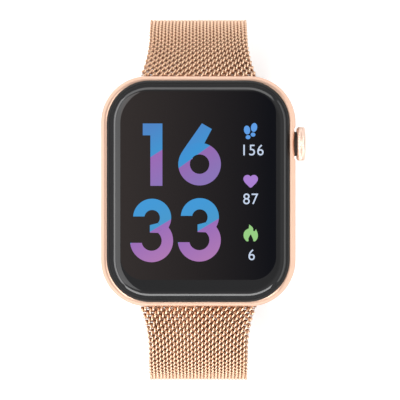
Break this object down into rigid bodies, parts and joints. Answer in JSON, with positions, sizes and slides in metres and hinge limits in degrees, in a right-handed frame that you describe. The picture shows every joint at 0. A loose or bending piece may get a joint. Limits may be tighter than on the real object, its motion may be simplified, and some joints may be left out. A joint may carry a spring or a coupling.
{
  "type": "smartwatch",
  "caption": "Rounded-square smartwatch with a glass touch display, rotating push crown, rear sensor window and a woven metal loop strap with magnetic clasp.",
  "frame": {"origin": "centre of the flat skin contact face of the sensor window on the back", "axes": "+Z out of the display, +Y to 12 o'clock, +X to the crown side"},
  "size_m": [0.04, 0.0751, 0.0526],
  "materials": {
    "gold_aluminium": "satin anodised, pale rose gold",
    "cover_glass": "polished, black backed",
    "black_adhesive": "matte",
    "display": "gloss black",
    "spring_steel": "satin",
    "flex_film": "amber film",
    "inner_aluminium": "machined",
    "screw_steel": "satin",
    "battery_pouch": "satin pouch",
    "circuit_board": "solder mask",
    "black_plastic": "moulded",
    "copper_wire": "enamelled copper",
    "tungsten": "satin",
    "rear_ceramic": "gloss",
    "sensor_glass": "polished",
    "led_lens": "gloss",
    "gold_steel": "satin, pale rose gold coating",
    "polished_steel": "polished",
    "brass_bush": "turned",
    "acetal": "moulded",
    "gold_mesh": "woven flattened wire, pale rose gold"
  },
  "bodies": {
    "case": {"case_body": "gold_aluminium", "cover_glass": "cover_glass", "glass_gasket": "black_adhesive", "display_panel": "display", "display_plate": "spring_steel", "display_flex": "flex_film", "mid_frame": "inner_aluminium", "frame_screws": "screw_steel", "battery": "battery_pouch", "main_board": "circuit_board", "board_chips": "black_plastic", "shield_can": "spring_steel", "board_screws": "screw_steel", "speaker": "black_plastic", "motor_case": "inner_aluminium", "motor_cover": "inner_aluminium", "motor_coil": "copper_wire", "motor_springs": "spring_steel", "rear_cover": "rear_ceramic", "rear_gasket": "black_adhesive", "sensor_window": "sensor_glass", "sensor_board": "circuit_board", "sensor_leds": "led_lens", "photodiodes": "black_plastic", "light_baffle": "black_plastic", "charging_coil": "copper_wire", "ferrite_sheet": "black_plastic", "crown_tube": "brass_bush", "crown_bracket": "inner_aluminium", "bracket_screws": "screw_steel", "crown_switch": "black_plastic", "switch_dome": "spring_steel", "crown_encoder": "circuit_board", "upper_adapter": "gold_steel", "lower_adapter": "gold_steel", "upper_lug_pin": "polished_steel", "lower_lug_pin": "polished_steel", "latch_springs": "spring_steel"},
    "motor_weight": {"motor_mass": "tungsten"},
    "crown_press_body": {"crown_follower": "acetal"},
    "crown": {"crown_knob": "gold_steel", "crown_cap": "gold_steel", "crown_shaft": "polished_steel", "crown_seals": "black_adhesive", "crown_clip": "spring_steel"},
    "upper_release": {"upper_button": "gold_steel"},
    "lower_release": {"lower_button": "gold_steel"},
    "upper_catch": {"upper_latch": "polished_steel"},
    "lower_catch": {"lower_latch": "polished_steel"},
    "upper_strap": {"upper_ferrule": "gold_steel", "upper_mesh": "gold_mesh"},
    "lower_strap": {"lower_ferrule": "gold_steel", "lower_mesh": "gold_mesh"},
    "closure": {"ring_mesh": "gold_mesh", "loop_ring": "gold_steel", "base_mesh": "gold_mesh"},
    "tail": {"tail_mesh": "gold_mesh", "clasp_shell": "gold_steel", "clasp_cover": "polished_steel", "clasp_magnets": "tungsten"}
  },
  "joints": [
    {"name": "strap_sway", "type": "hinge", "parent": "case", "child": "upper_strap", "pos_m": [0, 0.0213, 0.0023], "axis": [1, 0, 0], "range_deg": [-8, 8]},
    {"name": "lower_strap_sway", "type": "hinge", "parent": "case", "child": "lower_strap", "pos_m": [0, -0.0213, 0.0023], "axis": [1, 0, 0], "range_deg": [-8, 8]},
    {"name": "closure_level", "type": "hinge", "parent": "upper_strap", "child": "closure", "pos_m": [0, 0.0213, -0.0365], "axis": [1, 0, 0], "range_deg": [-8, 8]},
    {"name": "clasp_peel", "type": "hinge", "parent": "closure", "child": "tail", "pos_m": [0, 0.007, -0.0412], "axis": [1, 0, 0], "range_deg": [0, 80]},
    {"name": "crown_press", "type": "slide", "parent": "case", "child": "crown_press_body", "axis": [-1, 0, 0], "range_m": [0, 0.0004], "stiffness_N_per_m": 2500, "springref_m": -0.0004, "deforming": ["switch_dome"]},
    {"name": "crown_turn", "type": "hinge", "parent": "crown_press_body", "child": "crown", "pos_m": [0, 0.0093, 0.0054], "axis": [1, 0, 0], "continuous": true},
    {"name": "upper_release_press", "type": "slide", "parent": "case", "child": "upper_release", "axis": [0, 0, 1], "range_m": [0, 0.0004], "stiffness_N_per_m": 1500, "springref_m": -0.0004},
    {"name": "upper_catch_lift", "type": "slide", "parent": "case", "child": "upper_catch", "axis": [0, 0, 1], "range_m": [0, 0.0004], "stiffness_N_per_m": 1500, "springref_m": -0.0004, "deforming": ["latch_springs"]},
    {"name": "lower_release_press", "type": "slide", "parent": "case", "child": "lower_release", "axis": [0, 0, 1], "range_m": [0, 0.0004], "stiffness_N_per_m": 1500, "springref_m": -0.0004},
    {"name": "lower_catch_lift", "type": "slide", "parent": "case", "child": "lower_catch", "axis": [0, 0, 1], "range_m": [0, 0.0004], "stiffness_N_per_m": 1500, "springref_m": -0.0004, "deforming": ["latch_springs"]},
    {"name": "motor_shake", "type": "slide", "parent": "case", "child": "motor_weight", "axis": [1, 0, 0], "range_m": [-0.0003, 0.0003], "stiffness_N_per_m": 600, "deforming": ["motor_springs"]}
  ],
  "couplings": [
    {"joint": "lower_strap_sway", "follows": "strap_sway", "ratio": 1},
    {"joint": "closure_level", "follows": "strap_sway", "ratio": -1},
    {"joint": "upper_catch_lift", "follows": "upper_release_press", "ratio": 1},
    {"joint": "lower_catch_lift", "follows": "lower_release_press", "ratio": 1}
  ]
}
